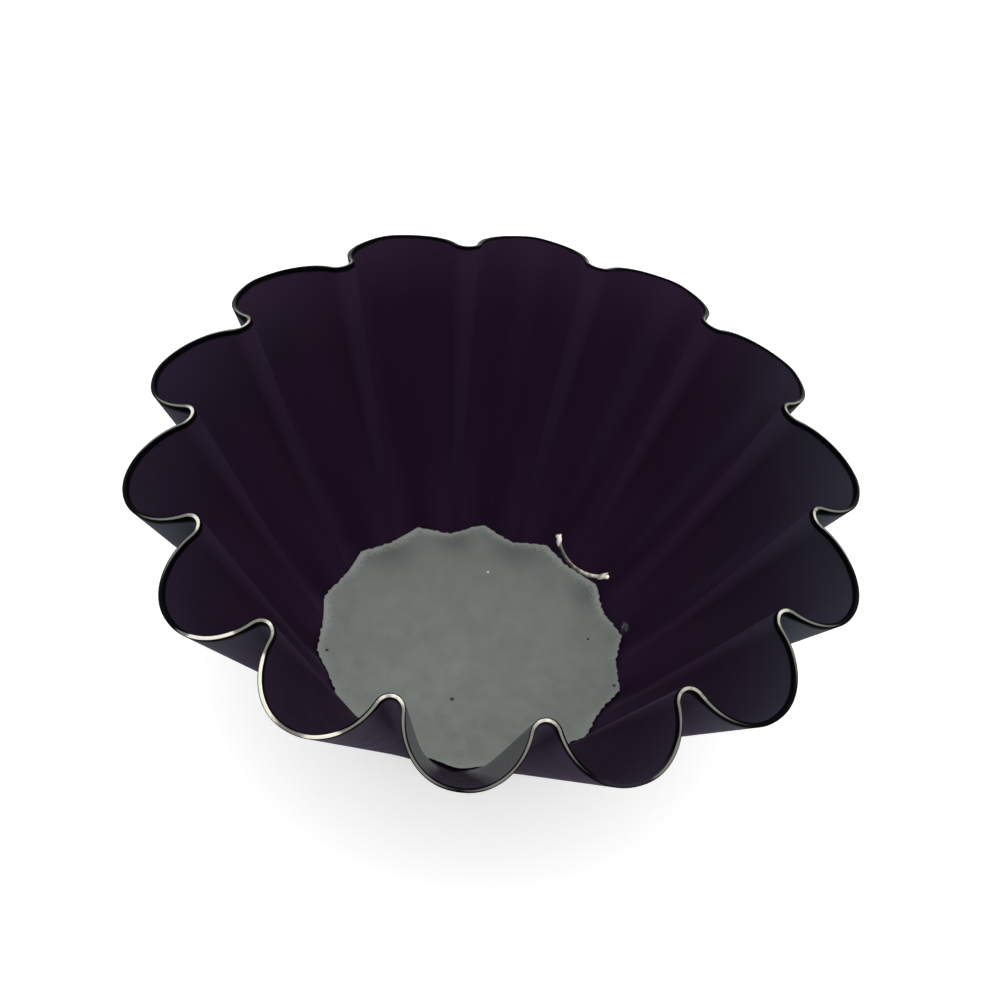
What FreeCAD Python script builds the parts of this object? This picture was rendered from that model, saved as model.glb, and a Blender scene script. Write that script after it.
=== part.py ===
import FreeCAD, Part
import math
import os

# Small fluted brioche mould with a loose base, in millimetres.
# The origin is on the table at the middle of the foot, +Z is up and a flute faces -Y.

# Driving dimensions
FLUTES = 14              # round flutes round the wall
RIM_RADIUS = 40.0        # outside of the flutes at the rim
FLUTE_DEPTH = 6.4        # how far the ridges between flutes stand in at the rim
RIDGE_FOLD = 1.2         # outside radius of a ridge at the rim
FOOT_RADIUS = 18.2       # outside of the foot's corners where the wall meets the table
FOOT_SAG = 0.3           # how far the foot curves in between its corners
CORNER_FOLD = 0.4        # inside radius of the foot's corners
SLANT = 35.9             # length of the wall up its slope, the same all round
SHEET = 0.4              # steel sheet
COAT = 0.06              # non-stick layer, one on each side of the sheet
FOOT_BEND = 0.3          # height of the bent edge under the wall
OPENING_RADIUS = 14.0    # push-out opening inside the ledge
PLATE = 0.6              # loose base plate
PLATE_CLEARANCE = 0.2    # level gap between the plate and the coated wall

# Derived sizes
PITCH = 2 * math.pi / FLUTES
WALL = SHEET + 2 * COAT              # whole thickness of the coated sheet
SEAT = SHEET + COAT                  # level of the coated ledge that carries the plate

FRONT_DEGREES = -90.0                # direction of the front flute
EDGE_POINTS = 9                      # points that shape one smooth edge

ORIGIN = FreeCAD.Vector(0, 0, 0)
UP = FreeCAD.Vector(0, 0, 1)


def heading(angle):
    return FreeCAD.Vector(math.cos(angle), math.sin(angle), 0)


FLUTE_WAY = heading(0)
RIDGE_WAY = heading(PITCH / 2)


# Outlines of the wall's outside, seen from above: a flute arc that runs into a ridge arc

def touching_arc(tip, inward, centre, radius):
    """Radius of the arc that starts at a tip, has its centre on the inward side and touches a circle."""
    away = tip - centre
    return (away.dot(away) - radius ** 2) / (2 * (radius - inward.dot(away)))


def rim_outline():
    flute_tip = FLUTE_WAY * RIM_RADIUS
    ridge_centre = RIDGE_WAY * (RIM_RADIUS - FLUTE_DEPTH + RIDGE_FOLD)
    flute_fold = touching_arc(flute_tip, -FLUTE_WAY, ridge_centre, RIDGE_FOLD)
    return flute_tip - FLUTE_WAY * flute_fold, flute_fold, ridge_centre, RIDGE_FOLD


def foot_outline():
    rise = math.sqrt(SLANT ** 2 - (RIM_RADIUS - FOOT_RADIUS) ** 2)
    corner_fold = CORNER_FOLD + WALL * SLANT / rise
    corner_centre = FLUTE_WAY * (FOOT_RADIUS - corner_fold)
    ridge_tip = RIDGE_WAY * (FOOT_RADIUS * math.cos(PITCH / 2) - FOOT_SAG)
    ridge_fold = touching_arc(ridge_tip, RIDGE_WAY, corner_centre, corner_fold)
    return corner_centre, corner_fold, ridge_tip + RIDGE_WAY * ridge_fold, ridge_fold


def runs(outline):
    """Length of the flute arc and of the whole outline from a flute's middle to a ridge, and the angle turned."""
    flute_centre, flute_fold, ridge_centre, ridge_fold = outline
    between = ridge_centre - flute_centre
    turn = math.atan2(between.y, between.x)
    flute_run = flute_fold * turn
    return flute_run, flute_run + ridge_fold * (turn - PITCH / 2), turn


def along(outline, share):
    """Point and tangent on an outline. Flute middles are at even shares of the way and ridges at odd ones."""
    flute_centre, flute_fold, ridge_centre, ridge_fold = outline
    flute_run, length, turn = runs(outline)
    flute = round(share / 2)
    across = share - 2 * flute
    run = abs(across) * length
    if run < flute_run:
        angle = run / flute_fold
        point = flute_centre + heading(angle) * flute_fold
    else:
        angle = turn - (run - flute_run) / ridge_fold
        point = ridge_centre - heading(angle) * ridge_fold
    tangent = heading(angle + math.pi / 2) * length
    if across < 0:
        point.y = -point.y
        tangent.x = -tangent.x
    turned = FreeCAD.Rotation(UP, math.degrees(flute * PITCH))
    return turned.multVec(point), turned.multVec(tangent)


RIM = rim_outline()
FOOT = foot_outline()


# The wall is ruled: straight lines of one length run up its slope from foot to rim

def wall_line(share, depth):
    """Foot and rim of a line up the wall, at a depth square under the wall's outside."""
    foot, foot_tangent = along(FOOT, share)
    rim, rim_tangent = along(RIM, share)
    lean = rim - foot
    rim.z = math.sqrt(SLANT ** 2 - lean.dot(lean))
    rim_tangent.z = -lean.dot(rim_tangent - foot_tangent) / rim.z
    line = rim - foot
    foot_normal = foot_tangent.cross(line).normalize()
    rim_normal = rim_tangent.cross(line).normalize()
    return foot - foot_normal * depth, rim - rim_normal * depth


def rim_point(share, depth):
    return wall_line(share, depth)[1]


def level_point(share, depth, level, inset=0.0):
    """Point of the wall at a level, moved towards the inside by an inset."""
    foot, rim = wall_line(share, depth)
    line = rim - foot
    outward = along(FOOT, share)[1].cross(UP).normalize()
    return foot + line * ((level - foot.z) / line.z) - outward * inset


# Edges, faces and solids

def breaks():
    """Shares of the way, over one flute and the ridge after it, where an arc ends at the foot or the rim."""
    first, second = sorted(runs(outline)[0] / runs(outline)[1] for outline in (FOOT, RIM))
    return [-first, first, second, 2 - second, 2 - first]


def flute_edges(place, *values):
    """Smooth edges across one flute and the ridge after it."""
    edges = []
    ends = breaks()
    for start, end in zip(ends, ends[1:]):
        step = (end - start) / (EDGE_POINTS - 1)
        curve = Part.BezierCurve()
        curve.increase(EDGE_POINTS - 1)
        curve.interpolate([[place(start + step * index, *values)] for index in range(EDGE_POINTS)])
        edges.append(curve.toShape())
    return edges


def all_round(shapes):
    """Copies of one flute's shapes at every flute, the first at the front."""
    step = 360.0 / FLUTES
    return [
        shape.rotated(ORIGIN, UP, FRONT_DEGREES + step * index)
        for index in range(FLUTES)
        for shape in shapes
    ]


def skirt(*rows):
    """Faces all round between each row of flute edges and the next row."""
    faces = []
    for row, next_row in zip(rows, rows[1:]):
        faces += all_round([Part.makeRuledSurface(*pair) for pair in zip(row, next_row)])
    return faces


def flat(row, *holes):
    """Level face inside a row of flute edges, with any holes."""
    outline = Part.Wire(all_round(row))
    return Part.makeFace([outline] + list(holes), "Part::FaceMakerBullseye")


def opening(level):
    return Part.Wire(Part.makeCircle(OPENING_RADIUS, UP * level))


def opening_wall(low, high):
    return Part.makeCylinder(OPENING_RADIUS, high - low, UP * low).Faces[0]


def closed_solid(faces):
    shell = Part.makeShell(faces)
    shell.sewShape()
    solid = Part.makeSolid(shell)
    if solid.Volume < 0:
        solid.reverse()
    return solid


# Pieces

def fluted_wall():
    sole = flute_edges(level_point, COAT, 0.0, FOOT_BEND)
    bend = flute_edges(level_point, COAT, FOOT_BEND)
    outer_rim = flute_edges(rim_point, COAT)
    inner_rim = flute_edges(rim_point, SEAT)
    ledge = flute_edges(level_point, SEAT, SHEET)
    faces = skirt(sole, bend, outer_rim, inner_rim, ledge)
    faces += [flat(sole, opening(0.0)), flat(ledge, opening(SHEET)), opening_wall(0.0, SHEET)]
    return closed_solid(faces)


def inner_coat():
    ledge = flute_edges(level_point, SEAT, SHEET)
    outer_rim = flute_edges(rim_point, SEAT)
    inner_rim = flute_edges(rim_point, WALL)
    seat = flute_edges(level_point, WALL, SEAT)
    faces = skirt(ledge, outer_rim, inner_rim, seat)
    faces += [flat(ledge, opening(SHEET)), flat(seat, opening(SEAT)), opening_wall(SHEET, SEAT)]
    return closed_solid(faces)


def outer_coat():
    outer_foot = flute_edges(level_point, 0.0, FOOT_BEND)
    outer_rim = flute_edges(rim_point, 0.0)
    inner_rim = flute_edges(rim_point, COAT)
    inner_foot = flute_edges(level_point, COAT, FOOT_BEND)
    return closed_solid(skirt(outer_foot, outer_rim, inner_rim, inner_foot, outer_foot))


def base_plate():
    lower = flute_edges(level_point, WALL, SEAT, PLATE_CLEARANCE)
    upper = flute_edges(level_point, WALL, SEAT + PLATE, PLATE_CLEARANCE)
    return closed_solid(skirt(lower, upper) + [flat(lower), flat(upper)])


def main():
    os.makedirs("parts", exist_ok=True)
    for piece in (fluted_wall, inner_coat, outer_coat, base_plate):
        solid = piece()
        print(piece.__name__, "valid", solid.isValid(), "volume", round(solid.Volume, 3), solid.BoundBox)
        solid.exportStep("parts/" + piece.__name__ + ".step")


main()
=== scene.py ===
import math

import bpy
import numpy as np
from mathutils import Matrix, Vector


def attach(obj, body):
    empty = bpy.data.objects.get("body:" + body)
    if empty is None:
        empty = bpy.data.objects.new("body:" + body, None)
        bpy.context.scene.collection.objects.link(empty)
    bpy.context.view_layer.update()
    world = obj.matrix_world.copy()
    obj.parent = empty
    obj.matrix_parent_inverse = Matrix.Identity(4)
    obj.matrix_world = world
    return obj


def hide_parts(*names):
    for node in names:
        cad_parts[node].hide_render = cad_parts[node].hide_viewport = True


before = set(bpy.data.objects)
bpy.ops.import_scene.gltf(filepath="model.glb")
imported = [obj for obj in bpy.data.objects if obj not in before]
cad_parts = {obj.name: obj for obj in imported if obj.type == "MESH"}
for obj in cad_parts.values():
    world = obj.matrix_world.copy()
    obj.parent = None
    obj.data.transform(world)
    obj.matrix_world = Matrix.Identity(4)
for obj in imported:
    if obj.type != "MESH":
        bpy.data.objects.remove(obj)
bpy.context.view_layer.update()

# Looks of a small fluted brioche mould with a loose base plate.
# The wall follows the same lines as the construction, in metres in the same frame.

MM = 0.001

# Sizes of the construction
FLUTES = 14
RIM_RADIUS = 40.0 * MM
FLUTE_DEPTH = 6.4 * MM
RIDGE_FOLD = 1.2 * MM             # radius of a ridge at the rim
FOOT_RADIUS = 18.2 * MM
FOOT_SAG = 0.3 * MM               # how far the foot bows in between its corners
CORNER_FOLD = 0.4 * MM            # radius of the foot's corners inside the wall
SLANT = 35.9 * MM                 # length of every line up the wall
SHEET = 0.4 * MM
COAT = 0.06 * MM
FOOT_BEND = 0.3 * MM
OPENING_RADIUS = 14.0 * MM
PLATE = 0.6 * MM
PITCH = 2 * math.pi / FLUTES
WALL = SHEET + 2 * COAT
SEAT = SHEET + COAT               # level of the ledge that carries the plate
PLATE_TOP = SEAT + PLATE
FRONT = math.radians(-90)         # angle of the front flute

# Fineness of the meshes
STATIONS = 80                     # points across one flute
SHOWN_ROWS = 24                   # steps up a face that shows
HIDDEN_ROWS = 6                   # steps up a face that another layer covers
RUB_POINTS = 90                   # points along the rub mark
QUARTER = np.linspace(0, math.pi / 2, 4)    # steps round a rounded edge
SHARP_ANGLE = math.radians(40)    # faces that meet more steeply keep a sharp edge

# Places round the wall, in half flutes from the front: flute middles are even and ridges odd
SHARES = np.arange(FLUTES * STATIONS) * 2 / STATIONS
FROM_FRONT = np.minimum(SHARES, 2 * FLUTES - SHARES)

# Finish of the wall and its rim
RIM_ROUND = 0.06 * MM             # worn corners of the cut rim
OUTER_CORNER = 0.9                # how bare the outer corner is, where 1 is the cut itself
INNER_CORNER = 0.5                # the same for the inner corner
COAT_CHIP = 0.03 * MM             # how far the coats have worn back from the cut rim
INNER_CHIP = (23, 0.7)            # waves round the rim, and their phase, where the inner coat ends
OUTER_CHIP = (29, 2.1)            # the same for the outer coat
WAVE_STEPS = (1.0, 1.7, 2.9, 4.3)           # how the waves of an uneven line grow finer
POLISH_PLACES = [0.25, 0.42, 0.95, 1.05]    # where the polish on the front flute's flanks starts and ends
POLISH_SHARES = [0, 1, 1, 0]

# Finish of the plate
PLATE_ROUND = 0.1 * MM            # worn corners of the plate
PLATE_BURR = 0.36 * MM            # unevenness of the plate's cut outline
PLATE_WAVES = [(48, 1.3, 0.4), (110, 2.2, 0.6)]    # waves round it, their phase and share of the burr
LEAST_BURR = 0.15                 # share of the burr that is left at the front
PLATE_TURN = math.radians(2.0)    # how far the loose plate has turned in its seat
PLATE_SLACK = 0.08 * MM           # smallest gap that the turned plate leaves to the wall
PLATE_SHARP = 3                   # points on each side over which a sharp corner is rounded
PLATE_WORN = 11                   # the same for a worn corner
WORN_PLACES = [0, 4, 16, 19]      # where the corners go from worn to sharp and back, in half flutes
WORN_SHARES = [1, 0, 0, 1]
PLATE_RINGS = [0.01, 0.2, 0.4, 0.6, 0.8, 0.9, 0.93, 0.955, 0.975, 0.99]    # rows on its faces

# How far the plate, cut by hand, stays inside the wall, in millimetres:
# one pair for each flute in turn from the front, at its corner and at the ridge after it
PLATE_INSETS = [
    (0.5, 0.1), (0.4, 0.1), (0.3, 0.1), (0.1, 0.2), (0.2, 0.4), (0.0, 0.05), (0.0, 0.7),
    (-0.1, 0.65), (-0.1, 0.0), (-0.1, -0.1), (0.1, -0.1), (0.25, -0.1), (0.3, 0.0), (0.4, 0.1),
]

# Bare edge round one ridge's foot, where the plate has rubbed the coat
RUB_SHARE = 11.0                  # the ridge, in half flutes from the front
RUB_LEVEL = 1.2 * MM
RUB_CLIMB = 1.0 * MM              # how much higher its ends are
RUB_CURVE = 3                     # how late its ends turn up
RUB_REACH = 0.88                  # distance of its end lumps from the ridge, in half flutes
RUB_HALF = 0.28 * MM
RUB_PROUD = 0.06 * MM
RUB_END = 0.24 * MM               # how much the lumps at its ends add
RUB_LUMP = 0.15                   # half the length of a lump, in half flutes
RUB_TIP = 0.98                    # where a lump is cut off, as a share of that half
RUB_SECTION = [(-1, -1.0), (-1, 1.0), (1, 0.6), (1, -0.6)]    # depth and side of its four edges
RUB_BRIGHT = 0.93                 # how bright its metal is
LUMP_GLINT = 0.2                 # painted glint: how much brighter its lumps are

# Camera of the photograph
AIM = Vector((0.17, -2.84, 29.47)) * MM
DISTANCE = 255.1 * MM
ELEVATION = math.radians(48.22)
TURN = math.radians(-2.02)
ROLL = math.radians(10.61)
LENS = 86.68
SENSOR = 36.0
NEAREST = 0.01


# Lines of the wall

def heading(angle):
    return np.stack([np.cos(angle), np.sin(angle)], -1)


def turned(flat, angle):
    cosine, sine = np.cos(angle), np.sin(angle)
    x, y = flat[:, 0], flat[:, 1]
    return np.stack([x * cosine - y * sine, x * sine + y * cosine], -1)


def solid_points(flat, level=0.0):
    return np.column_stack([flat, np.broadcast_to(level, len(flat))])


def unit(vectors):
    return vectors / np.linalg.norm(vectors, axis=1, keepdims=True)


FLUTE_WAY = heading(0.0)
RIDGE_WAY = heading(PITCH / 2)


def touching_arc(tip, inward, centre, radius):
    """Radius of the arc that starts at a tip, has its centre on the inward side and touches a circle."""
    away = tip - centre
    return (away @ away - radius ** 2) / (2 * (radius - inward @ away))


def rim_outline():
    tip = FLUTE_WAY * RIM_RADIUS
    ridge_centre = RIDGE_WAY * (RIM_RADIUS - FLUTE_DEPTH + RIDGE_FOLD)
    fold = touching_arc(tip, -FLUTE_WAY, ridge_centre, RIDGE_FOLD)
    return tip - FLUTE_WAY * fold, fold, ridge_centre, RIDGE_FOLD


def foot_outline():
    rise = math.sqrt(SLANT ** 2 - (RIM_RADIUS - FOOT_RADIUS) ** 2)
    corner_fold = CORNER_FOLD + WALL * SLANT / rise
    corner_centre = FLUTE_WAY * (FOOT_RADIUS - corner_fold)
    tip = RIDGE_WAY * (FOOT_RADIUS * math.cos(PITCH / 2) - FOOT_SAG)
    fold = touching_arc(tip, RIDGE_WAY, corner_centre, corner_fold)
    return corner_centre, corner_fold, tip + RIDGE_WAY * fold, fold


RIM = rim_outline()
FOOT = foot_outline()


def along(outline, shares):
    """Points and tangents on an outline, at places in half flutes from the front."""
    flute_centre, flute_fold, ridge_centre, ridge_fold = outline
    between = ridge_centre - flute_centre
    turn = math.atan2(between[1], between[0])
    flute_run = flute_fold * turn
    length = flute_run + ridge_fold * (turn - PITCH / 2)
    flute = np.round(shares / 2)
    across = shares - 2 * flute
    run = np.abs(across) * length
    on_flute = run < flute_run
    angle = np.where(on_flute, run / flute_fold, turn - (run - flute_run) / ridge_fold)
    way = heading(angle)
    on_ridge = ridge_centre - way * ridge_fold
    points = np.where(on_flute[:, None], flute_centre + way * flute_fold, on_ridge)
    tangents = np.stack([-way[:, 1], way[:, 0]], -1) * length
    before = across < 0
    points[before, 1] *= -1
    tangents[before, 0] *= -1
    angle = FRONT + flute * PITCH
    return turned(points, angle), turned(tangents, angle)


def wall_lines(depth, shares=SHARES):
    """Feet and rims of lines up the wall, at a depth square under the wall's outside."""
    foot, foot_tangent = along(FOOT, shares)
    rim, rim_tangent = along(RIM, shares)
    lean = rim - foot
    height = np.sqrt(SLANT ** 2 - (lean ** 2).sum(1))
    climb = -(lean * (rim_tangent - foot_tangent)).sum(1) / height
    foot = solid_points(foot)
    rim = solid_points(rim, height)
    line = rim - foot
    foot_normal = unit(np.cross(solid_points(foot_tangent), line))
    rim_normal = unit(np.cross(solid_points(rim_tangent, climb), line))
    return foot - foot_normal * depth, rim - rim_normal * depth


def level_row(depth, level, inset=0.0, shares=SHARES):
    """Points of the wall at a level, moved towards the inside by an inset."""
    foot, rim = wall_lines(depth, shares)
    line = rim - foot
    tangent = along(FOOT, shares)[1]
    outward = unit(np.stack([tangent[:, 1], -tangent[:, 0]], -1))
    points = foot + line * ((level - foot[:, 2]) / line[:, 2])[:, None]
    return points - solid_points(outward * np.broadcast_to(inset, len(shares))[:, None])


def rim_row(depth, drop=0.0):
    """Points of the wall a drop below the rim, measured down the slope."""
    foot, rim = wall_lines(depth)
    return rim - unit(rim - foot) * np.broadcast_to(drop, len(SHARES))[:, None]


def rows_between(low, high, parts):
    """Rows from one row to another, closer together at both ends."""
    steps = [(1 - math.cos(math.pi * step / parts)) / 2 for step in range(parts + 1)]
    return [low + (high - low) * step for step in steps]


def circle_row(radius, level):
    foot = wall_lines(WALL)[0][:, :2]
    return solid_points(unit(foot) * radius, level)


def wander(period, phase):
    """Smooth irregular values from 0 to 1 all round."""
    angle = SHARES * PITCH / 2
    waves = [np.sin(angle * round(period * step) + phase * step * step) for step in WAVE_STEPS]
    total = sum(wave / (1 + index) for index, wave in enumerate(waves))
    return (total - total.min()) / (total.max() - total.min())


def smoothed(values, reach):
    """Values all round, each averaged with its neighbours up to a reach on both sides."""
    return np.mean([np.roll(values, step) for step in range(-reach, reach + 1)], axis=0)


# Meshes

def joined(row_count, point_count, round_rows, round_points):
    """Quads between rows of points. The rows, and the points of a row, can join up with their first."""
    here = np.arange(point_count if round_points else point_count - 1)
    after = (here + 1) % point_count
    faces = []
    for row in range(row_count if round_rows else row_count - 1):
        low = row * point_count
        high = (row + 1) % row_count * point_count
        faces += np.stack([low + here, low + after, high + after, high + here], -1).tolist()
    return faces


def piece(name, rows, faces, body, material, node=None, values=None):
    """A mesh with values at its points, which rides on a body and can stand for a node."""
    mesh = bpy.data.meshes.new(name)
    mesh.from_pydata(np.concatenate(rows).tolist(), [], faces)
    for key, numbers in (values or {}).items():
        data = mesh.attributes.new(key, "FLOAT", "POINT").data
        data.foreach_set("value", np.ravel(numbers).astype(np.float32))
    mesh.shade_smooth()
    mesh.set_sharp_from_angle(angle=SHARP_ANGLE)
    mesh.materials.append(material)
    made = bpy.data.objects.new(name, mesh)
    bpy.context.scene.collection.objects.link(made)
    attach(made, body)
    if node:
        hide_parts(node)


def wall_values(rows, depth):
    """For every point: 1 on a ridge to 0 in a flute's middle, millimetres below the rim, front flanks."""
    nearness = 1 - np.abs(SHARES % 2 - 1)
    rim = wall_lines(depth)[1]
    below = [np.linalg.norm(row - rim, axis=1) / MM for row in rows]
    flank = np.interp(FROM_FRONT, POLISH_PLACES, POLISH_SHARES)
    return {
        "ridge": np.tile(nearness, len(rows)),
        "below_rim": np.concatenate(below),
        "front_flank": np.tile(flank, len(rows)),
    }


# Shader nodes

# Levels of a noise: more of them give finer detail
SOFT = 1.0
PLAIN = 2.0
USUAL = 3.0
FINE = 4.0

# Places of the colour sockets on a mix node
MIX_SHARE = 0
MIX_FIRST = 6
MIX_SECOND = 7
MIX_RESULT = 2


def new_material(name):
    material = bpy.data.materials.new(name)
    material.use_nodes = True
    return material, material.node_tree, material.node_tree.nodes["Principled BSDF"]


def set_input(tree, socket, value):
    if isinstance(value, bpy.types.NodeSocket):
        tree.links.new(value, socket)
    else:
        socket.default_value = value


def place(tree):
    return tree.nodes.new("ShaderNodeTexCoord").outputs["Object"]


def noise(tree, scale, detail=USUAL, grit=0.5, vector=None):
    """Noise from 0 to 1. The grit is how strong its finest detail is."""
    node = tree.nodes.new("ShaderNodeTexNoise")
    set_input(tree, node.inputs["Vector"], vector or place(tree))
    node.inputs["Scale"].default_value = scale
    node.inputs["Detail"].default_value = detail
    node.inputs["Roughness"].default_value = grit
    return node.outputs["Fac"]


def stretched(tree, scale):
    """The piece's own coordinates, stretched by a factor along each axis."""
    node = tree.nodes.new("ShaderNodeMapping")
    tree.links.new(place(tree), node.inputs["Vector"])
    node.inputs["Scale"].default_value = scale
    return node.outputs["Vector"]


def ranged(tree, value, limits, to_low=0.0, to_high=1.0):
    """A value that goes smoothly from one number to another while its source goes from limit to limit."""
    node = tree.nodes.new("ShaderNodeMapRange")
    node.interpolation_type = "SMOOTHSTEP"
    low, high = limits
    for key, number in (("Value", value), ("From Min", low), ("From Max", high),
                        ("To Min", to_low), ("To Max", to_high)):
        set_input(tree, node.inputs[key], number)
    return node.outputs["Result"]


def maths(tree, operation, first, second):
    node = tree.nodes.new("ShaderNodeMath")
    node.operation = operation
    set_input(tree, node.inputs[0], first)
    set_input(tree, node.inputs[1], second)
    return node.outputs["Value"]


def times(tree, first, second):
    return maths(tree, "MULTIPLY", first, second)


def plus(tree, first, second):
    return maths(tree, "ADD", first, second)


def mixed(tree, share, first, second):
    node = tree.nodes.new("ShaderNodeMix")
    node.data_type = "RGBA"
    set_input(tree, node.inputs[MIX_SHARE], share)
    set_input(tree, node.inputs[MIX_FIRST], first)
    set_input(tree, node.inputs[MIX_SECOND], second)
    return node.outputs[MIX_RESULT]


def attribute(tree, name):
    node = tree.nodes.new("ShaderNodeAttribute")
    node.attribute_name = name
    return node.outputs["Fac"]


def bumped(tree, shader, height, strength, distance):
    node = tree.nodes.new("ShaderNodeBump")
    node.inputs["Strength"].default_value = strength
    node.inputs["Distance"].default_value = distance
    tree.links.new(height, node.inputs["Height"])
    tree.links.new(node.outputs["Normal"], shader.inputs["Normal"])


def spot(tree, centre, radius, strength=1.0, core=0.6):
    """A strength within the core of a round spot, fading to 0 at its edge. Sizes are in millimetres."""
    node = tree.nodes.new("ShaderNodeVectorMath")
    node.operation = "DISTANCE"
    tree.links.new(place(tree), node.inputs[0])
    node.inputs[1].default_value = Vector(centre) * MM
    return ranged(tree, node.outputs["Value"], (radius * core * MM, radius * MM), strength, 0.0)


def over(tree, way, stretch, before=0.0, after=1.0):
    """A value that changes over a stretch of a direction, in millimetres from the middle."""
    node = tree.nodes.new("ShaderNodeVectorMath")
    node.operation = "DOT_PRODUCT"
    tree.links.new(place(tree), node.inputs[0])
    node.inputs[1].default_value = way
    start, end = stretch
    return ranged(tree, node.outputs["Value"], (start * MM, end * MM), before, after)


# Directions from the middle of the mould
TO_RIGHT = (1.0, 0.0, 0.0)
TO_LEFT = (-1.0, 0.0, 0.0)
TO_FRONT = (0.0, -1.0, 0.0)
TO_BACK = (0.0, 1.0, 0.0)

# Limits between which a noise has most, or only the middle, of its values
MOST = (0.25, 0.75)
MIDDLE = (0.3, 0.7)
NARROW = (0.4, 0.6)

# The two coats. The flanks are painted paler than the flutes' middles, painted light that evens out their
# shade. A side with painted sheen has a direction, a stretch in millimetres and a strength. The painted
# shade along the rim fades between two depths in millimetres.
INNER = {
    "deep": (0.0160, 0.0070, 0.0205, 1),
    # paler flanks: painted light that evens out their shade
    "lit_flank": (0.0265, 0.0125, 0.0325, 1),
    # painted sheen near the rim, on the sides listed next
    "sheen": (0.0320, 0.0335, 0.0475, 1),
    "sheen_sides": [
        ((0.98, -0.1, 0.0), (16, 38), 1.0),
        (TO_LEFT, (10, 36), 0.3),
        ((0.3, -0.95, 0.0), (28, 40), 0.35),
    ],
    # darker crests: painted shade that damps the light the ridges catch
    "crest": (0.0190, 0.0115, 0.0275, 1),
    "crest_shares": (0.5, 0.9),
    # painted shade just below the rim
    "rim_shade_fade": (0.55, 0.8),
    "fold_shadow": 0.0,
    "gloss": 0.03,
    "dull": 0.5,
}
OUTER = {
    "deep": (0.0360, 0.0250, 0.0480, 1),
    # paler flanks: painted light that evens out their shade
    "lit_flank": (0.0410, 0.0290, 0.0545, 1),
    # painted sheen near the rim, on the sides listed next
    "sheen": (0.0950, 0.1150, 0.1300, 1),
    "sheen_sides": [
        (TO_RIGHT, (18, 33), 0.8),
        (TO_LEFT, (4, 16), 0.3),
        (TO_LEFT, (22, 32), 0.3),
    ],
    # paler crests: a painted highlight in the folds
    "crest": (0.070, 0.060, 0.085, 1),
    "crest_shares": (0.08, 0.32),
    # painted shade below the rim, and painted shadow deeper under the folds
    "rim_shade_fade": (0.4, 1.1),
    "fold_shadow": 0.6,
    "gloss": 0.0015,
    "dull": 0.42,
}
# black of the painted shade along the rim and in the folds
RIM_SHADE = (0.0008, 0.0007, 0.0014, 1)
GLOSS_TINT = (0.8, 0.7, 1.0, 1)
DULL_SPREAD = 0.06                # how uneven the roughness of a coat is

# Patterns of the coats: scales in features per metre, limits of the ridge value, depths in millimetres
CLOUD_SCALE = 140.0
CLOUD_SHARE = 0.3
FLANK_LIGHT_LIMITS = (0.25, 1.0)
SHEEN_DEPTHS = (0.0, 14.0)
SHEEN_SHARES = (0.85, 0.2)
CREST_SCALE = 90.0
CREST_LIMITS = (0.9, 1.0)
FOLD_LIMITS = (0.7, 1.0)
RIM_SHADE_SCALE = 500.0
RIM_SHADE_UNEVEN = 0.2
DULL_SCALE = 300.0
GRAIN_SCALE = 2600.0
GRAIN_BUMP = (0.05, 0.03 * MM)


def coat_colour_with_light(tree, finish, ridge, below):
    """Colour of a coat: deep in the flutes, with painted light on the flanks and a painted sheen near the
    rim on some sides.
    """
    cloud = times(tree, noise(tree, CLOUD_SCALE, PLAIN), CLOUD_SHARE)
    flank_light = ranged(tree, plus(tree, ridge, cloud), FLANK_LIGHT_LIMITS)
    colour = mixed(tree, flank_light, finish["deep"], finish["lit_flank"])
    near_rim = ranged(tree, below, SHEEN_DEPTHS, *SHEEN_SHARES)
    for way, stretch, strength in finish["sheen_sides"]:
        aside = over(tree, way, stretch, 0.0, strength)
        colour = mixed(tree, times(tree, near_rim, aside), colour, finish["sheen"])
    return colour


def crest_share(tree, finish, ridge):
    """How much of the crest's colour shows along the ridges, in uneven patches: painted shade on the inner
    coat, a painted highlight on the outer.
    """
    patches = ranged(tree, noise(tree, CREST_SCALE, PLAIN), MOST, *finish["crest_shares"])
    return times(tree, ranged(tree, ridge, CREST_LIMITS), patches)


def rim_shade_share(tree, finish, ridge, below):
    """How much of the black painted shade shows: just below the rim, and deeper under the folds as painted
    shadow.
    """
    depth = maths(tree, "SUBTRACT", below, ranged(tree, ridge, FOLD_LIMITS, 0.0, finish["fold_shadow"]))
    uneven = times(tree, noise(tree, RIM_SHADE_SCALE), RIM_SHADE_UNEVEN)
    return ranged(tree, plus(tree, depth, uneven), finish["rim_shade_fade"], 1.0, 0.0)


def coat_surface(tree, shader, finish, colour):
    """Colour, uneven dullness, faint gloss and fine grain of a coat."""
    tree.links.new(colour, shader.inputs["Base Color"])
    dull = finish["dull"]
    roughness = ranged(tree, noise(tree, DULL_SCALE, FINE), MIDDLE, dull, dull + DULL_SPREAD)
    tree.links.new(roughness, shader.inputs["Roughness"])
    shader.inputs["Specular IOR Level"].default_value = finish["gloss"]
    shader.inputs["Specular Tint"].default_value = GLOSS_TINT
    bumped(tree, shader, noise(tree, GRAIN_SCALE, PLAIN), *GRAIN_BUMP)


# Marks on the inner coat: painted light and shade, and a scuff
# the crests' painted shade is strongest at the left
CREST_FADE = (TO_RIGHT, (5, 25), 1.0, 0.35)
# painted band of light under the far rim
FAR_SIDE = ((-0.35, 0.94, 0.0), (10, 30))
FAR_DEPTHS = (1.0, 9.0)
FAR_SHARE = 0.4
FAR_RIM_LIGHT = (0.040, 0.021, 0.048, 1)
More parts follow.
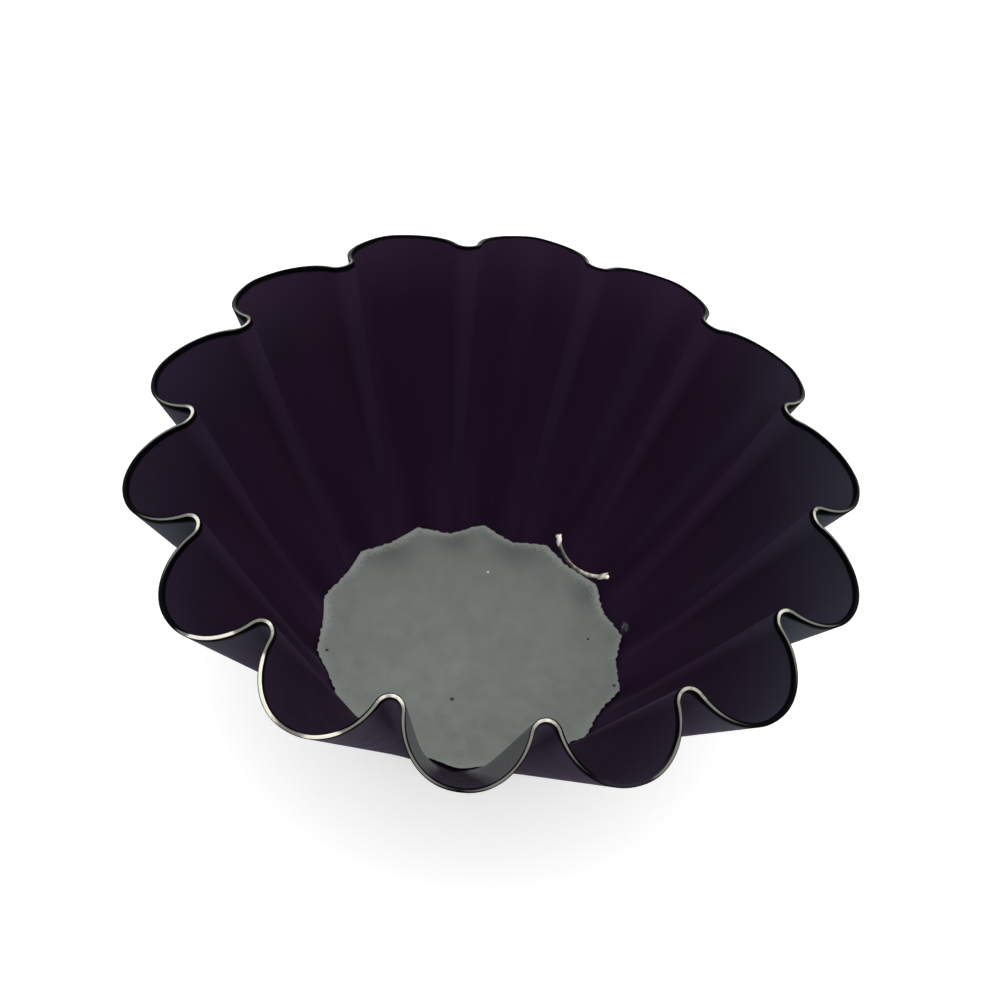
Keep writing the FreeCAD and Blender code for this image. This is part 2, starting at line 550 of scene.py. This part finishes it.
# painted highlight along one ridge at the front right
HIGHLIGHT_LIMITS = (0.94, 1.0)
HIGHLIGHT_SHARE = 0.6
HIGHLIGHT_SIDE = ((0.62, -0.78, 0.0), (14, 22))
HIGHLIGHT_END = ((0.78, 0.62, 0.0), (3, 7), 1.0, 0.0)
HIGHLIGHT_COLOUR = (0.060, 0.070, 0.100, 1)
# painted light on the flutes' middles at the far right
LIT_FLUTE_LIMITS = (0.0, 0.3)
LIT_FLUTE_SHARE = 0.12
LIT_FLUTE_SIDE = ((0.8, 0.6, 0.0), (12, 26))
LIT_FLUTE_COLOUR = (0.044, 0.034, 0.066, 1)
SCUFF = (17.73, 5.6, 1.45)
SCUFF_RADIUS = 0.9
SCUFF_SHARE = 0.8
SCUFF_CORE = 0.1
SCUFF_SCALE = 2200.0
SCUFF_COLOUR = (0.20, 0.21, 0.24, 1)

# Where the inner coat's painted shade along the rim is thinner or left out
THIN_SHADE_SIDE = ((0.3, 0.95, 0.0), (22, 34), 0.0, 0.3)
FLANK_SHADE = 0.1
FRONT_SHADE = (TO_FRONT, (36, 39), 1.0, 0.25)
RIGHT_FRONT_RIM = (17.2, -35.7, 28.8)   # rim of the flute to the right of the front one
LESS_SHADE_RADIUS = 5.5
LESS_SHADE_SHARE = 0.75
SPOT_CORE = 0.5

# Clear polish on the front flute's flanks
POLISH = 0.58
POLISH_ROUGHNESS = 0.12
POLISH_IOR = 1.6


def inner_marks(tree, ridge, below, colour):
    """Painted shade on the crests, a painted band of light under the far rim, a painted highlight on one
    ridge and painted light on the far right flutes.
    """
    crest = times(tree, crest_share(tree, INNER, ridge), over(tree, *CREST_FADE))
    colour = mixed(tree, crest, colour, INNER["crest"])
    far = times(tree, over(tree, *FAR_SIDE), ranged(tree, below, FAR_DEPTHS, FAR_SHARE, 0.0))
    colour = mixed(tree, far, colour, FAR_RIM_LIGHT)
    highlight = times(tree, ranged(tree, ridge, HIGHLIGHT_LIMITS, 0.0, HIGHLIGHT_SHARE), over(tree, *HIGHLIGHT_SIDE))
    colour = mixed(tree, times(tree, highlight, over(tree, *HIGHLIGHT_END)), colour, HIGHLIGHT_COLOUR)
    lit_flutes = times(tree, ranged(tree, ridge, LIT_FLUTE_LIMITS, LIT_FLUTE_SHARE, 0.0), over(tree, *LIT_FLUTE_SIDE))
    return mixed(tree, lit_flutes, colour, LIT_FLUTE_COLOUR)


def inner_rim_shade(tree, ridge, below, flank):
    """The painted shade inside the rim: thin at the far side, left off the front flute and the lobe beside
    it.
    """
    shade = rim_shade_share(tree, INNER, ridge, plus(tree, below, over(tree, *THIN_SHADE_SIDE)))
    shade = times(tree, shade, ranged(tree, flank, (0.0, 1.0), 1.0, FLANK_SHADE))
    shade = times(tree, shade, over(tree, *FRONT_SHADE))
    # the painted shade is left off round the rim of the flute right of the front one
    worn = spot(tree, RIGHT_FRONT_RIM, LESS_SHADE_RADIUS, LESS_SHADE_SHARE, SPOT_CORE)
    return times(tree, shade, maths(tree, "SUBTRACT", 1.0, worn))


def inner_coat_material():
    """Purple-black non-stick layer, nearly matt, polished only on the front flute's flanks."""
    material, tree, shader = new_material("inner_coat")
    ridge = attribute(tree, "ridge")
    below = attribute(tree, "below_rim")
    flank = attribute(tree, "front_flank")
    colour = inner_marks(tree, ridge, below, coat_colour_with_light(tree, INNER, ridge, below))
    colour = mixed(tree, inner_rim_shade(tree, ridge, below, flank), colour, RIM_SHADE)
    scratches = ranged(tree, noise(tree, SCUFF_SCALE), NARROW)
    scuff = times(tree, scratches, spot(tree, SCUFF, SCUFF_RADIUS, SCUFF_SHARE, SCUFF_CORE))
    colour = mixed(tree, scuff, colour, SCUFF_COLOUR)
    coat_surface(tree, shader, INNER, colour)
    tree.links.new(times(tree, flank, POLISH), shader.inputs["Coat Weight"])
    shader.inputs["Coat Roughness"].default_value = POLISH_ROUGHNESS
    shader.inputs["Coat IOR"].default_value = POLISH_IOR
    return material


def outer_coat_material():
    """Greyer non-stick layer without gloss."""
    material, tree, shader = new_material("outer_coat")
    ridge = attribute(tree, "ridge")
    below = attribute(tree, "below_rim")
    colour = coat_colour_with_light(tree, OUTER, ridge, below)
    colour = mixed(tree, crest_share(tree, OUTER, ridge), colour, OUTER["crest"])
    colour = mixed(tree, rim_shade_share(tree, OUTER, ridge, below), colour, RIM_SHADE)
    coat_surface(tree, shader, OUTER, colour)
    return material


# Bare steel: shear marks along the cut rim, which is bright on the ridges and dark in the flutes, with stain
# and painted shade
MARK_SCALE = 900.0
MARK_GRIT = 0.6
MARK_STRETCH = (1.0, 1.0, 0.15)
MARK_BUMP = (0.25, 0.02 * MM)
WEAR_SCALE = 260.0
WEAR_UNEVEN = 0.3
NEAR_LEFT = ((-0.58, -0.81, 0.0), (34.8, 37.4), 0.0, 0.8)    # painted highlight on the near left lobe's rim
NEAR_LEFT_END = ((0.3, -0.95, 0.0), (14.5, 17.5))
# painted light on the rim: brighter at the front and on one lobe, painted shade at the far side
RIM_LIGHT_SIDES = [(TO_FRONT, (36.5, 39), 0.0, 0.36), (TO_BACK, (10, 34), 0.0, -0.4)]
RIM_LIGHT_SPOTS = [((19.9, -33.2, 29.2), 3.4, 0.36), ((11.5, -34.9, 30.3), 5.0, -0.12)]
BARE_LIMITS = (1.45, 1.75)
TARNISH_LIMITS = (1.16, 1.32)
MARK_SHARE = 0.3
TARNISHED = (0.19, 0.19, 0.165, 1)
BRIGHT = (0.84, 0.82, 0.71, 1)
# dark rim: stain and painted shade, painted paler on the flute right of the front one
STAIN_AND_SHADE = (0.001, 0.001, 0.002, 1)
LIT_STAIN = (0.024, 0.021, 0.030, 1)
LIT_STAIN_RADIUS = 5.0
STEEL_SCALE = 1500.0
STEEL_ROUGHNESS = (0.28, 0.45)
STAIN_GLOSS = 0.03


def rim_wear_and_light(tree):
    """How bare the rim shows: worn most on the ridges, with painted light and shade making more or less of
    it on some sides and lobes.
    """
    wear_and_light = plus(tree, attribute(tree, "ridge"), times(tree, noise(tree, WEAR_SCALE), WEAR_UNEVEN))
    wear_and_light = plus(tree, wear_and_light, times(tree, over(tree, *NEAR_LEFT), over(tree, *NEAR_LEFT_END)))
    for side in RIM_LIGHT_SIDES:
        wear_and_light = plus(tree, wear_and_light, over(tree, *side))
    for centre, radius, strength in RIM_LIGHT_SPOTS:
        wear_and_light = plus(tree, wear_and_light, spot(tree, centre, radius, strength, SPOT_CORE))
    return wear_and_light


def steel_material():
    """Sheet steel: bright, tarnished, or dark with stain and painted shade, by the rim's wear and its
    painted light.
    """
    material, tree, shader = new_material("bare_steel")
    marks = noise(tree, MARK_SCALE, FINE, MARK_GRIT, stretched(tree, MARK_STRETCH))
    wear_and_light = rim_wear_and_light(tree)
    bare = ranged(tree, plus(tree, wear_and_light, attribute(tree, "cut")), BARE_LIMITS)
    polish = ranged(tree, plus(tree, wear_and_light, times(tree, marks, MARK_SHARE)), TARNISH_LIMITS)
    metal = mixed(tree, polish, TARNISHED, BRIGHT)
    stain_and_shade = mixed(tree, spot(tree, RIGHT_FRONT_RIM, LIT_STAIN_RADIUS, 1.0, SPOT_CORE), STAIN_AND_SHADE, LIT_STAIN)
    tree.links.new(mixed(tree, bare, stain_and_shade, metal), shader.inputs["Base Color"])
    roughness = ranged(tree, noise(tree, STEEL_SCALE), MIDDLE, *STEEL_ROUGHNESS)
    tree.links.new(roughness, shader.inputs["Roughness"])
    tree.links.new(bare, shader.inputs["Metallic"])
    shader.inputs["Specular IOR Level"].default_value = STAIN_GLOSS
    bumped(tree, shader, marks, *MARK_BUMP)
    return material


# Plate: colours, and spots on its top in millimetres
PLATE_DARKER = (0.158, 0.176, 0.164, 1)
PLATE_PALER = (0.169, 0.188, 0.175, 1)
PLATE_CLOUD_SCALE = 110.0
PLATE_GRAIN_SCALE = 2400.0
PLATE_GRAIN_GRIT = 0.65
PLATE_GRAIN_STRETCH = (0.6, 1.0, 1.0)
PLATE_GRAIN_LIMITS = (0.35, 0.75)
PLATE_GRAIN_SHARE = 0.25
PLATE_GRAIN_BUMP = (0.2, 0.02 * MM)
PLATE_GRAIN = (0.20, 0.215, 0.20, 1)
PLATE_SHADED_SIDE = ((0.75, -0.66, 0.0), (0, 16), 0.0, 0.45)
PLATE_SHADED = (0.120, 0.135, 0.126, 1)
# painted shade from the wall along the plate's back edge
WALL_SHADES = [((-11.0, 11.6), 4.4), ((-3.6, 15.0), 3.2), ((3.7, 15.0), 4.6), ((13.5, 10.0), 4.0)]
WALL_SHADE_SHARE = 0.75
WALL_SHADE = (0.095, 0.105, 0.098, 1)
FRAY_SCALE = 2600.0
FRAY_GRIT = 0.7
FRAY = 2.6                        # how far the border is frayed, in millimetres
BORDER_LIMITS = (1.4, 2.7)
BORDER_SCALE = 150.0
BORDER_PATCHES = (0.35, 0.65)
LEAST_BORDER = 0.3
BORDER = (0.31, 0.33, 0.30, 1)
LIT_SIDE = ((-0.2, 0.98, 0.0), (-8, 12), 0.15, 0.9)    # the border shows most at the far side
# painted highlight along the cut edge
EDGE_HIGHLIGHT_LIMITS = (0.15, 0.6)
EDGE_HIGHLIGHT_SHARE = 0.7
EDGE_HIGHLIGHT = (0.30, 0.315, 0.30, 1)
DARK_SPECKS = [((-1.22, -8.44), 0.3), ((-16.16, -4.34), 0.25), ((13.46, 3.25), 0.22), ((17.0, -2.9), 0.25)]
DARK_SPECK = (0.02, 0.02, 0.025, 1)
PALE_SPECKS = [((0.83, 10.92), 0.2)]
PALE_SPECK = (0.6, 0.6, 0.56, 1)
PLATE_ROUGH_SCALE = 500.0
PLATE_ROUGHNESS = (0.45, 0.6)
PLATE_METAL = 0.35


def on_top(point):
    return (*point, PLATE_TOP / MM)


def plate_border(tree, colour):
    """Pale ragged border, and a thin painted highlight along the cut edge, both strongest on the lit far
    side.
    """
    inward = attribute(tree, "inward")
    lit = over(tree, *LIT_SIDE)
    frayed = times(tree, noise(tree, FRAY_SCALE, FINE, FRAY_GRIT), FRAY)
    border = ranged(tree, plus(tree, inward, frayed), BORDER_LIMITS, 1.0, 0.0)
    patches = ranged(tree, noise(tree, BORDER_SCALE, SOFT), BORDER_PATCHES, LEAST_BORDER, 1.0)
    border = times(tree, border, patches)
    colour = mixed(tree, times(tree, border, lit), colour, BORDER)
    # painted highlight along the cut edge
    line = ranged(tree, inward, EDGE_HIGHLIGHT_LIMITS, EDGE_HIGHLIGHT_SHARE, 0.0)
    return mixed(tree, times(tree, line, lit), colour, EDGE_HIGHLIGHT)


def plate_material():
    """Dull grey plate: fine rolled grain, painted shade from the wall along its back, a paler ragged border
    and a few specks.
    """
    material, tree, shader = new_material("base_plate")
    grain = noise(tree, PLATE_GRAIN_SCALE, FINE, PLATE_GRAIN_GRIT, stretched(tree, PLATE_GRAIN_STRETCH))
    cloud = ranged(tree, noise(tree, PLATE_CLOUD_SCALE, FINE), MIDDLE)
    colour = mixed(tree, cloud, PLATE_DARKER, PLATE_PALER)
    grain_share = ranged(tree, grain, PLATE_GRAIN_LIMITS, 0.0, PLATE_GRAIN_SHARE)
    colour = mixed(tree, grain_share, colour, PLATE_GRAIN)
    colour = mixed(tree, over(tree, *PLATE_SHADED_SIDE), colour, PLATE_SHADED)
    for point, radius in WALL_SHADES:
        colour = mixed(tree, spot(tree, on_top(point), radius, WALL_SHADE_SHARE, 0.0), colour, WALL_SHADE)
    colour = plate_border(tree, colour)
    for point, radius in DARK_SPECKS:
        colour = mixed(tree, spot(tree, on_top(point), radius), colour, DARK_SPECK)
    for point, radius in PALE_SPECKS:
        colour = mixed(tree, spot(tree, on_top(point), radius), colour, PALE_SPECK)
    tree.links.new(colour, shader.inputs["Base Color"])
    roughness = ranged(tree, noise(tree, PLATE_ROUGH_SCALE), MIDDLE, *PLATE_ROUGHNESS)
    tree.links.new(roughness, shader.inputs["Roughness"])
    shader.inputs["Metallic"].default_value = PLATE_METAL
    bumped(tree, shader, grain, *PLATE_GRAIN_BUMP)
    return material


INNER_COAT = inner_coat_material()
OUTER_COAT = outer_coat_material()
STEEL = steel_material()
PLATE_STEEL = plate_material()


# Pieces of the mould

def fluted_wall():
    """Sheet with a rounded bend under it and worn corners along the cut rim."""
    rows = [circle_row(OPENING_RADIUS, 0.0)]
    for turn in QUARTER:
        rows.append(level_row(COAT, FOOT_BEND * (1 - math.cos(turn)), FOOT_BEND * (1 - math.sin(turn))))
    rows += rows_between(level_row(COAT, FOOT_BEND), rim_row(COAT, RIM_ROUND), HIDDEN_ROWS)[1:-1]
    cut = [0.0] * len(rows)
    for turn in QUARTER:
        rows.append(rim_row(COAT + RIM_ROUND * (1 - math.cos(turn)), RIM_ROUND * (1 - math.sin(turn))))
        cut.append(OUTER_CORNER * math.sin(turn))
    rows.append(rim_row((COAT + SEAT) / 2))
    cut.append(1.0)
    for turn in QUARTER:
        rows.append(rim_row(SEAT - RIM_ROUND * (1 - math.sin(turn)), RIM_ROUND * (1 - math.cos(turn))))
        cut.append(INNER_CORNER * math.cos(turn))
    rows += rows_between(rim_row(SEAT, RIM_ROUND), level_row(SEAT, SHEET), HIDDEN_ROWS)[1:]
    rows.append(circle_row(OPENING_RADIUS, SHEET))
    cut += [0.0] * (len(rows) - len(cut))
    faces = joined(len(rows), len(SHARES), True, True)
    values = {**wall_values(rows, COAT), "cut": np.repeat(cut, len(SHARES))}
    piece("fluted_wall_sheet", rows, faces, "mould", STEEL, "fluted_wall", values)


def inner_coat():
    """Skin inside the wall and on its ledge, with an uneven worn line at the rim."""
    chip = COAT_CHIP * wander(*INNER_CHIP)
    rows = [circle_row(OPENING_RADIUS, SHEET)]
    rows += rows_between(level_row(SEAT, SHEET), rim_row(SEAT, chip), HIDDEN_ROWS)
    rows += rows_between(rim_row(WALL, chip + COAT / 2), level_row(WALL, SEAT), SHOWN_ROWS)
    rows.append(circle_row(OPENING_RADIUS, SEAT))
    faces = joined(len(rows), len(SHARES), True, True)
    values = wall_values(rows, WALL)
    piece("inner_coat_skin", rows, faces, "mould", INNER_COAT, "inner_coat", values)


def outer_coat():
    """Skin outside the wall, from above the bare foot to an uneven worn line at the rim."""
    chip = COAT_CHIP * wander(*OUTER_CHIP)
    rows = rows_between(level_row(0.0, FOOT_BEND), rim_row(0.0, chip + COAT / 2), SHOWN_ROWS)
    rows += rows_between(rim_row(COAT, chip), level_row(COAT, FOOT_BEND), HIDDEN_ROWS)
    faces = joined(len(rows), len(SHARES), True, True)
    values = wall_values(rows, 0.0)
    piece("outer_coat_skin", rows, faces, "mould", OUTER_COAT, "outer_coat", values)


def plate_row(level, inset):
    """Outline of the plate, uneven as cut, turned a little in its seat and clear of the wall all round."""
    wall = level_row(WALL, level)[:, :2]
    angle = np.arctan2(wall[:, 1], wall[:, 0])
    radius = np.linalg.norm(wall, axis=1)
    room = np.interp(angle + PLATE_TURN, angle, radius - PLATE_SLACK, period=2 * math.pi)
    hand = np.interp(SHARES, np.arange(2 * FLUTES), np.ravel(PLATE_INSETS) * MM, period=2 * FLUTES)
    sharp = smoothed(radius - hand, PLATE_SHARP)
    worn = smoothed(radius - hand, PLATE_WORN)
    rounded = sharp + (worn - sharp) * np.interp(SHARES, WORN_PLACES, WORN_SHARES, period=2 * FLUTES)
    uneven = sum(share * wander(waves, phase) for waves, phase, share in PLATE_WAVES)
    burr = PLATE_BURR * uneven * np.clip(FROM_FRONT / 2, LEAST_BURR, 1)
    cut = np.minimum(rounded - burr, room) - inset
    return solid_points(heading(angle + PLATE_TURN) * cut[:, None], level)


def base_plate():
    """Plate with worn edges, closer rows near its border, and flat ends."""
    sections = [(PLATE_ROUND * (1 - math.sin(turn)), PLATE_ROUND * (1 - math.cos(turn))) for turn in QUARTER]
    lower = [plate_row(SEAT + rise, inset) for inset, rise in sections]
    upper = [plate_row(PLATE_TOP - rise, inset) for inset, rise in sections]
    lower = [lower[0] * (ring, ring, 1) for ring in PLATE_RINGS] + lower
    upper = [upper[0] * (ring, ring, 1) for ring in PLATE_RINGS] + upper
    rows = lower + upper[::-1]
    count = len(SHARES)
    faces = joined(len(rows), count, False, True)
    faces.append(list(range(count))[::-1])
    faces.append(list(range((len(rows) - 1) * count, len(rows) * count)))
    inward = [(1 - ring) * FOOT_RADIUS / MM for ring in PLATE_RINGS] + [0.0] * len(sections)
    values = {"inward": np.repeat(inward + inward[::-1], count)}
    piece("base_plate_disc", rows, faces, "base", PLATE_STEEL, "base_plate", values)


def rub_mark():
    """Thin bare edge on the wall, low on the ridge and higher in the flutes beside it."""
    shares = RUB_SHARE - (RUB_REACH + RUB_LUMP) * np.cos(np.linspace(0, math.pi, RUB_POINTS))
    away = np.abs(shares - RUB_SHARE)
    level = RUB_LEVEL + RUB_CLIMB * np.minimum(away / RUB_REACH, 1) ** RUB_CURVE
    across = np.clip((away - RUB_REACH) / RUB_LUMP, -1, RUB_TIP)
    swell = np.sqrt(1 - across ** 2) * RUB_END
    half = np.where(across > 0, swell, RUB_HALF + swell)
    rows = []
    for depth, side in RUB_SECTION:
        proud = swell / 2 if depth > 0 else 0.0
        rows.append(level_row(WALL + depth * RUB_PROUD, level + half * side, proud, shares))
    faces = joined(len(rows), len(shares), True, False)
    faces.append([row * len(shares) for row in range(len(rows))])
    faces.append([(row + 1) * len(shares) - 1 for row in range(len(rows))][::-1])
    # the lumps' brighter metal is a painted glint
    bright = np.tile(RUB_BRIGHT + LUMP_GLINT * swell / RUB_END, len(rows))
    values = {"ridge": bright, "cut": np.ones(len(bright))}
    piece("rub_mark", rows, faces, "mould", STEEL, values=values)


fluted_wall()
inner_coat()
outer_coat()
base_plate()
rub_mark()


# Studio

WHITE = (1, 1, 1, 1)
FLOOR_HALF = 1.5
FLOOR_COLOUR = (0.8, 0.8, 0.8, 1)
FLOOR_ROUGHNESS = 0.9
FLOOR_GLOW = 0.6                  # what makes the floor white where it is seen
SKY_WAY = (0.0, 0.3, 0.95)        # the side from which most light comes
SKY_LIMITS = (-0.3, 0.9)
SKY_LIGHT = (0.45, 1.0)
LAMP_PLACE = (0.0, 0.1, 0.7)
LAMP_SIZE = 0.9
LAMP_POWER = 1.5


def seen(tree):
    """1 where a surface is seen, also in a mirror or through glass, and 0 where it only gives light."""
    rays = tree.nodes.new("ShaderNodeLightPath").outputs
    direct = maths(tree, "MAXIMUM", rays["Is Camera Ray"], rays["Is Glossy Ray"])
    return maths(tree, "MAXIMUM", direct, rays["Is Transmission Ray"])


def floor():
    mesh = bpy.data.meshes.new("floor")
    half = FLOOR_HALF
    corners = [(-half, -half, 0), (half, -half, 0), (half, half, 0), (-half, half, 0)]
    mesh.from_pydata(corners, [], [(0, 1, 2, 3)])
    material, tree, shader = new_material("floor")
    shader.inputs["Base Color"].default_value = FLOOR_COLOUR
    shader.inputs["Roughness"].default_value = FLOOR_ROUGHNESS
    shader.inputs["Specular IOR Level"].default_value = 0.0
    shader.inputs["Emission Color"].default_value = WHITE
    tree.links.new(times(tree, seen(tree), FLOOR_GLOW), shader.inputs["Emission Strength"])
    mesh.materials.append(material)
    plane = bpy.data.objects.new("floor", mesh)
    bpy.context.scene.collection.objects.link(plane)


def surroundings():
    """White where they are seen; as light, brightest above and behind."""
    world = bpy.data.worlds.new("studio")
    bpy.context.scene.world = world
    world.use_nodes = True
    tree = world.node_tree
    background = tree.nodes["Background"]
    facing = tree.nodes.new("ShaderNodeVectorMath")
    facing.operation = "DOT_PRODUCT"
    tree.links.new(tree.nodes.new("ShaderNodeTexCoord").outputs["Generated"], facing.inputs[0])
    facing.inputs[1].default_value = Vector(SKY_WAY).normalized()
    light = ranged(tree, facing.outputs["Value"], SKY_LIMITS, *SKY_LIGHT)
    tree.links.new(maths(tree, "MAXIMUM", light, seen(tree)), background.inputs["Strength"])
    background.inputs["Color"].default_value = WHITE


def lamp():
    light = bpy.data.lights.new("overhead", "AREA")
    light.shape = "DISK"
    light.size = LAMP_SIZE
    light.energy = LAMP_POWER
    holder = bpy.data.objects.new("overhead", light)
    holder.location = LAMP_PLACE
    holder.rotation_mode = "QUATERNION"
    holder.rotation_quaternion = (AIM - Vector(LAMP_PLACE)).to_track_quat("-Z", "Y")
    bpy.context.scene.collection.objects.link(holder)


def camera():
    data = bpy.data.cameras.new("camera")
    data.sensor_width = SENSOR
    data.lens = LENS
    data.clip_start = NEAREST
    holder = bpy.data.objects.new("camera", data)
    forward = Vector((0, math.cos(ELEVATION), -math.sin(ELEVATION)))
    forward.rotate(Matrix.Rotation(TURN, 3, "Z"))
    turn = forward.to_track_quat("-Z", "Y").to_matrix() @ Matrix.Rotation(ROLL, 3, "Z")
    holder.matrix_world = Matrix.Translation(AIM - forward * DISTANCE) @ turn.to_4x4()
    bpy.context.scene.collection.objects.link(holder)
    bpy.context.scene.camera = holder


floor()
surroundings()
lamp()
camera()
bpy.context.scene.view_settings.view_transform = "Standard"
